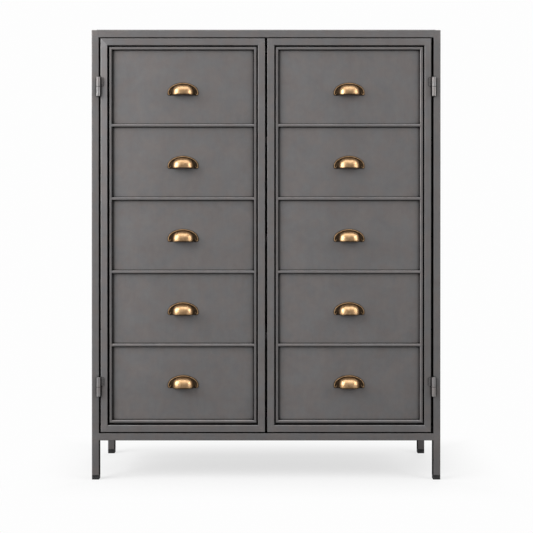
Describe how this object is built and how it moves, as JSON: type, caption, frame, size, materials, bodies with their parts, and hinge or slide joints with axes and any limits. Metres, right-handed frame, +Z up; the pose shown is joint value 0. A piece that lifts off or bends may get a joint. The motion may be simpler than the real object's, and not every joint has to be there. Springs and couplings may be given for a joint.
{
  "type": "two-door metal storage cabinet",
  "caption": "Tall free-standing gunmetal steel cabinet on tube legs, with hinged doors dressed as stacks of false drawer fronts with brass cup pulls, and shelves inside.",
  "frame": {"origin": "on the floor, under the middle of the overall box with the doors closed", "axes": "+Z up, the doors face -Y, +X to the right as seen from the front"},
  "size_m": [1.1, 0.416, 1.42],
  "materials": {
    "gunmetal": "satin, clear coated",
    "antique_brass": "polished highlights over dark antique patina",
    "rubber": "matt black",
    "catch_plastic": "matt black",
    "plated_steel": "zinc plated"
  },
  "bodies": {
    "case": {"front_left_post": "gunmetal", "front_right_post": "gunmetal", "rear_left_post": "gunmetal", "rear_right_post": "gunmetal", "top_front_rail": "gunmetal", "top_rear_rail": "gunmetal", "top_left_rail": "gunmetal", "top_right_rail": "gunmetal", "bottom_front_rail": "gunmetal", "bottom_rear_rail": "gunmetal", "bottom_left_rail": "gunmetal", "bottom_right_rail": "gunmetal", "top_sheet": "gunmetal", "floor_sheet": "gunmetal", "left_side_sheet": "gunmetal", "right_side_sheet": "gunmetal", "back_sheet": "gunmetal", "lower_shelf": "gunmetal", "middle_shelf": "gunmetal", "upper_shelf": "gunmetal", "shelf_ledges": "gunmetal", "glides": "rubber", "stop_strip": "gunmetal", "stop_bumpers": "rubber", "catch_bodies": "catch_plastic", "catch_magnets": "plated_steel", "catch_screws": "plated_steel", "left_hinge_pintles": "gunmetal", "right_hinge_pintles": "gunmetal", "hinge_pins": "plated_steel", "hinge_washers": "plated_steel"},
    "left_door": {"left_hinge_stile": "gunmetal", "left_meeting_stile": "gunmetal", "left_door_top_rail": "gunmetal", "left_door_bottom_rail": "gunmetal", "left_door_sheet": "gunmetal", "left_bead_stiles": "gunmetal", "left_bead_rails": "gunmetal", "left_pull_1": "antique_brass", "left_pull_2": "antique_brass", "left_pull_3": "antique_brass", "left_pull_4": "antique_brass", "left_pull_5": "antique_brass", "left_pull_screws": "plated_steel", "left_hinge_sockets": "gunmetal"},
    "right_door": {"right_hinge_stile": "gunmetal", "right_meeting_stile": "gunmetal", "right_door_top_rail": "gunmetal", "right_door_bottom_rail": "gunmetal", "right_door_sheet": "gunmetal", "right_bead_stiles": "gunmetal", "right_bead_rails": "gunmetal", "right_pull_1": "antique_brass", "right_pull_2": "antique_brass", "right_pull_3": "antique_brass", "right_pull_4": "antique_brass", "right_pull_5": "antique_brass", "right_pull_screws": "plated_steel", "right_hinge_sockets": "gunmetal"}
  },
  "joints": [
    {"name": "left_door_hinge", "type": "hinge", "parent": "case", "child": "left_door", "pos_m": [-0.52787, -0.1983, 0.77], "axis": [0, 0, -1], "range_deg": [0, 180]},
    {"name": "right_door_hinge", "type": "hinge", "parent": "case", "child": "right_door", "pos_m": [0.52787, -0.1983, 0.77], "axis": [0, 0, 1], "range_deg": [0, 180]}
  ]
}
